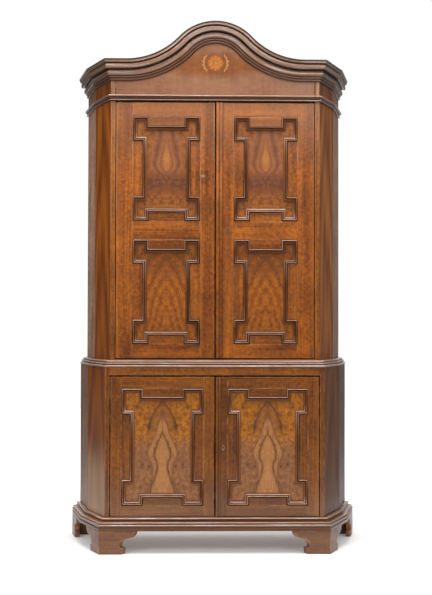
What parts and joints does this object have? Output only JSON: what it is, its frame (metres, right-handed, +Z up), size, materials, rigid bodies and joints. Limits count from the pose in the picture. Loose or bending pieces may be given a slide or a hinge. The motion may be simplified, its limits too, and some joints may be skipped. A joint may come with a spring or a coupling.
{
  "type": "two-part sideboard",
  "caption": "Walnut cupboard in a lower and an upper case, with canted corners, panelled doors that swing open, a bell-arched cornice and bracket feet.",
  "frame": {"origin": "under the middle of the whole box, on the floor", "axes": "+Z up, the front with the doors faces -Y, +X to the right seen from the front"},
  "size_m": [1.4406, 0.497, 2.5135],
  "materials": {
    "walnut": "polished shellac",
    "walnut_moulding": "polished shellac",
    "figured_walnut": "polished shellac",
    "inner_wood": "bare",
    "iron": "dull",
    "brass": "worn"
  },
  "bodies": {
    "case": {"base_front": "walnut_moulding", "base_left": "walnut_moulding", "base_right": "walnut_moulding", "cornice_front": "walnut_moulding", "crown_left_return": "walnut", "crown_rear_rail": "inner_wood", "crown_right_return": "walnut", "frieze_board": "walnut", "front_left_foot": "walnut", "front_right_foot": "walnut", "lower_back": "inner_wood", "lower_bottom": "inner_wood", "lower_left_post": "walnut", "lower_left_side": "walnut", "lower_rail": "walnut", "lower_right_post": "walnut", "lower_right_side": "walnut", "lower_shelf": "inner_wood", "lower_top": "walnut_moulding", "rear_left_foot": "walnut", "rear_right_foot": "walnut", "upper_back": "inner_wood", "upper_bottom": "inner_wood", "upper_left_post": "walnut", "upper_left_side": "walnut", "upper_right_post": "walnut", "upper_right_side": "walnut", "upper_shelf_high": "inner_wood", "upper_shelf_low": "inner_wood", "upper_top": "walnut_moulding"},
    "upper_left_door": {"upper_left_door_bottom_pin": "iron", "upper_left_door_frame": "walnut", "upper_left_door_high_moulding": "walnut_moulding", "upper_left_door_high_panel": "figured_walnut", "upper_left_door_low_moulding": "walnut_moulding", "upper_left_door_low_panel": "figured_walnut", "upper_left_door_top_pin": "iron"},
    "upper_right_door": {"upper_lock_case": "iron", "upper_right_door_bottom_pin": "iron", "upper_right_door_frame": "walnut", "upper_right_door_high_moulding": "walnut_moulding", "upper_right_door_high_panel": "figured_walnut", "upper_right_door_low_moulding": "walnut_moulding", "upper_right_door_low_panel": "figured_walnut", "upper_right_door_top_pin": "iron"},
    "lower_left_door": {"lower_left_door_bottom_pin": "iron", "lower_left_door_frame": "walnut", "lower_left_door_moulding": "walnut_moulding", "lower_left_door_panel": "figured_walnut", "lower_left_door_top_pin": "iron"},
    "lower_right_door": {"lower_lock_case": "iron", "lower_right_door_bottom_pin": "iron", "lower_right_door_frame": "walnut", "lower_right_door_moulding": "walnut_moulding", "lower_right_door_panel": "figured_walnut", "lower_right_door_top_pin": "iron"},
    "upper_lock_bolt": {"upper_lock_bolt": "brass"},
    "lower_lock_bolt": {"lower_lock_bolt": "brass"},
    "upper_flush_bolt": {"upper_flush_bolt": "brass"},
    "lower_flush_bolt": {"lower_flush_bolt": "brass"}
  },
  "joints": [
    {"name": "upper_left_door_hinge", "type": "hinge", "parent": "case", "child": "upper_left_door", "pos_m": [-0.456, -0.1695, 0.911], "axis": [0, 0, -1], "range_deg": [0, 110]},
    {"name": "upper_right_door_hinge", "type": "hinge", "parent": "case", "child": "upper_right_door", "pos_m": [0.456, -0.1695, 0.911], "axis": [0, 0, 1], "range_deg": [0, 110]},
    {"name": "lower_left_door_hinge", "type": "hinge", "parent": "case", "child": "lower_left_door", "pos_m": [-0.47615, -0.2015, 0.167], "axis": [0, 0, -1], "range_deg": [0, 110]},
    {"name": "lower_right_door_hinge", "type": "hinge", "parent": "case", "child": "lower_right_door", "pos_m": [0.47615, -0.2015, 0.167], "axis": [0, 0, 1], "range_deg": [0, 110]},
    {"name": "upper_lock_bolt_slide", "type": "slide", "parent": "upper_right_door", "child": "upper_lock_bolt", "axis": [-1, 0, 0], "range_m": [0, 0.014]},
    {"name": "upper_flush_bolt_slide", "type": "slide", "parent": "upper_left_door", "child": "upper_flush_bolt", "axis": [0, 0, 1], "range_m": [0, 0.012]},
    {"name": "lower_lock_bolt_slide", "type": "slide", "parent": "lower_right_door", "child": "lower_lock_bolt", "axis": [-1, 0, 0], "range_m": [0, 0.014]},
    {"name": "lower_flush_bolt_slide", "type": "slide", "parent": "lower_left_door", "child": "lower_flush_bolt", "axis": [0, 0, 1], "range_m": [0, 0.012]}
  ]
}
